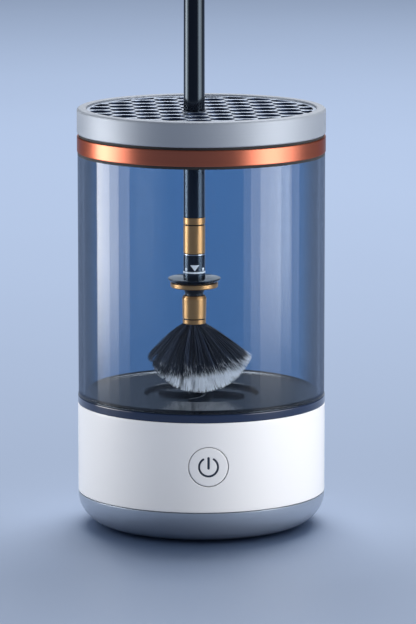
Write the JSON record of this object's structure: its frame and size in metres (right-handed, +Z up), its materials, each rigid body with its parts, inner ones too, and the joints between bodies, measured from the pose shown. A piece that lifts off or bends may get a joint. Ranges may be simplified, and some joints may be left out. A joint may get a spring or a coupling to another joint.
{
  "type": "make-up brush cleaner",
  "caption": "Make-up brush cleaner: round motor base with a push button, lift-off clear tank with pulsator, lift-off honeycomb lid, and a spinning brush standing in a lid hole.",
  "frame": {"origin": "centre of the underside, on the surface the cleaner stands on", "axes": "+Z up along the tank's axis; the button faces -Y; +X is the right-hand side seen from the button"},
  "size_m": [0.115, 0.115, 0.2583],
  "materials": {
    "white_plastic": "satin white moulded plastic",
    "grey_plastic": "satin blue-grey moulded plastic",
    "navy_plastic": "glossy dark navy plastic",
    "black_plastic": "satin black plastic",
    "black_gloss": "polished black lacquer",
    "black_rubber": "matt black rubber",
    "tank_plastic": "dark glossy plastic",
    "clear_tank": "smoky blue-grey clear plastic, polished",
    "copper": "brushed copper plating",
    "lid_grey": "satin silver grey",
    "lid_plate": "glossy dark blue-grey moulded plastic",
    "gold": "brushed gold plating",
    "steel": "bright steel",
    "bronze": "sintered bronze",
    "magnet": "nickel-plated magnet",
    "ferrite": "dark ferrite",
    "winding": "enamelled copper wire",
    "board_green": "green circuit board",
    "battery_wrap": "blue shrink wrap",
    "wire_red": "wire insulation",
    "wire_yellow": "wire insulation",
    "inner_plastic": "grey moulded plastic",
    "bush_plastic": "natural acetal",
    "white_mark": "white pad print",
    "dark_mark": "dark blue-grey inlay",
    "bristle": "soft blue-black fibres with white tips"
  },
  "bodies": {
    "base": {"base_pan": "grey_plastic", "foot_pads": "black_rubber", "base_housing": "white_plastic", "base_deck": "navy_plastic", "base_screws": "steel", "circuit_board": "board_green", "board_components": "black_plastic", "board_screws": "steel", "tact_switch": "black_plastic", "button_spring": "steel", "battery_cell": "battery_wrap", "battery_cradle": "black_plastic", "battery_leads": "wire_red", "motor_leads": "wire_yellow", "charge_port": "steel", "charge_tongue": "black_plastic", "charge_board": "board_green", "motor_can": "steel", "motor_endcap": "black_plastic", "motor_magnets": "ferrite", "motor_bearings": "bronze", "motor_terminals": "bronze", "motor_bracket": "steel", "bracket_screws": "steel", "motor_screws": "steel"},
    "rotor": {"motor_shaft": "steel", "motor_armature": "winding", "drive_rotor": "inner_plastic", "drive_magnets": "magnet"},
    "button": {"power_button": "white_plastic", "power_symbol": "dark_mark"},
    "tank": {"tank_glass": "clear_tank", "tank_floor": "tank_plastic", "tank_foot_ring": "black_gloss", "pulsator_pin": "steel", "pin_cap": "black_plastic", "band_gasket": "black_rubber", "copper_band": "copper"},
    "pulsator": {"pulsator": "tank_plastic", "pulsator_bush": "bush_plastic", "pulsator_magnets": "magnet"},
    "lid": {"lid_rim": "lid_grey", "lid_grid": "lid_plate", "lid_seal": "black_rubber", "lid_oring": "black_rubber"},
    "handle": {"handle_rod": "black_gloss", "handle_collar": "gold", "swivel_pin": "steel"},
    "brush_head": {"thrust_washer": "steel", "mark_sleeve": "black_gloss", "level_mark": "white_mark", "splash_disc": "black_gloss", "disc_ring": "gold", "head_core": "black_plastic", "swivel_bush": "bronze", "ferrule": "gold", "bristle_plug": "black_plastic", "bristles": "bristle"}
  },
  "joints": [
    {"name": "rotor_spin", "type": "hinge", "parent": "base", "child": "rotor", "pos_m": [0, 0, 0.0463], "axis": [0, 0, 1], "continuous": true},
    {"name": "button_press", "type": "slide", "parent": "base", "child": "button", "axis": [0, 1, 0], "range_m": [0, 0.001], "stiffness_N_per_m": 300, "springref_m": -0.002},
    {"name": "tank_lift", "type": "slide", "parent": "base", "child": "tank", "axis": [0, 0, 1], "range_m": [0, 0.04]},
    {"name": "pulsator_spin", "type": "hinge", "parent": "tank", "child": "pulsator", "pos_m": [0, 0, 0.0563], "axis": [0, 0, 1], "continuous": true},
    {"name": "lid_lift", "type": "slide", "parent": "tank", "child": "lid", "axis": [0, 0, 1], "range_m": [0, 0.125]},
    {"name": "handle_slide", "type": "slide", "parent": "lid", "child": "handle", "axis": [0, 0, 1], "range_m": [0, 0.055]},
    {"name": "head_spin", "type": "hinge", "parent": "handle", "child": "brush_head", "pos_m": [-0.00364, -0.0063, 0.1213], "axis": [0, 0, 1], "continuous": true}
  ],
  "couplings": [
    {"joint": "pulsator_spin", "follows": "rotor_spin", "ratio": 1}
  ]
}
